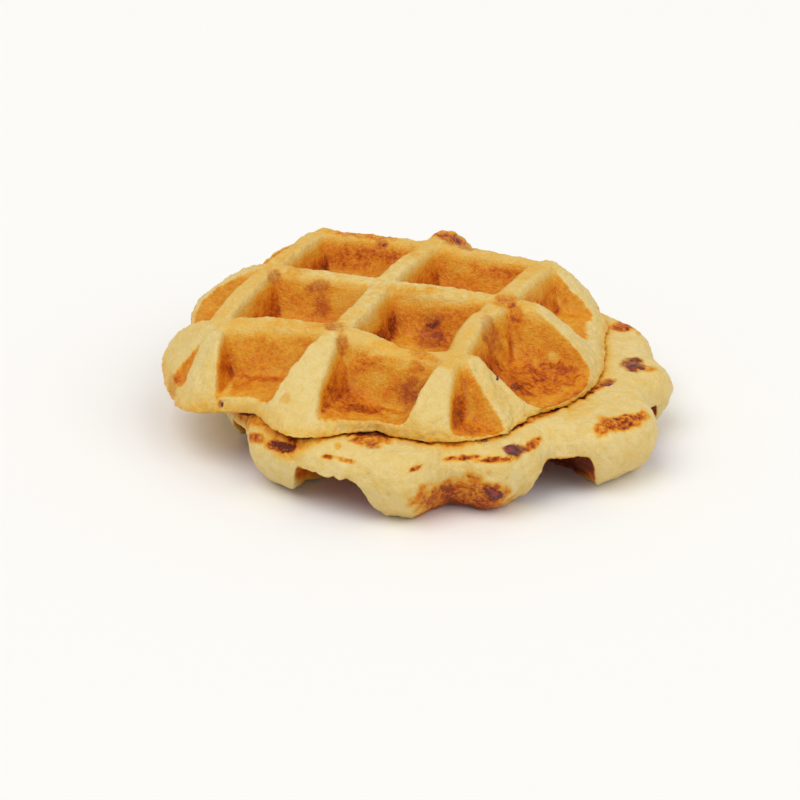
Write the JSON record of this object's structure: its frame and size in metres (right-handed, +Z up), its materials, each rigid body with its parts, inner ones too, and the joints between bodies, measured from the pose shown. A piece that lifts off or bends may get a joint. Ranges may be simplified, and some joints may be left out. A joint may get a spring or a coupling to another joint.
{
  "type": "waffle",
  "caption": "Round baked waffle with a square grid of deep pockets above and a turned, offset grid below, lobed rim and a crease round its middle",
  "frame": {"origin": "middle of the bounding box, on the surface the waffle rests on", "axes": "+X along the rows of the upper grid, +Y along its columns, +Z up"},
  "size_m": [0.1154, 0.1106, 0.0293],
  "materials": {
    "baked_dough": "baked dough, pale gold, toasted brown in the pockets"
  },
  "bodies": {
    "root": {"waffle": "baked_dough"}
  },
  "joints": []
}
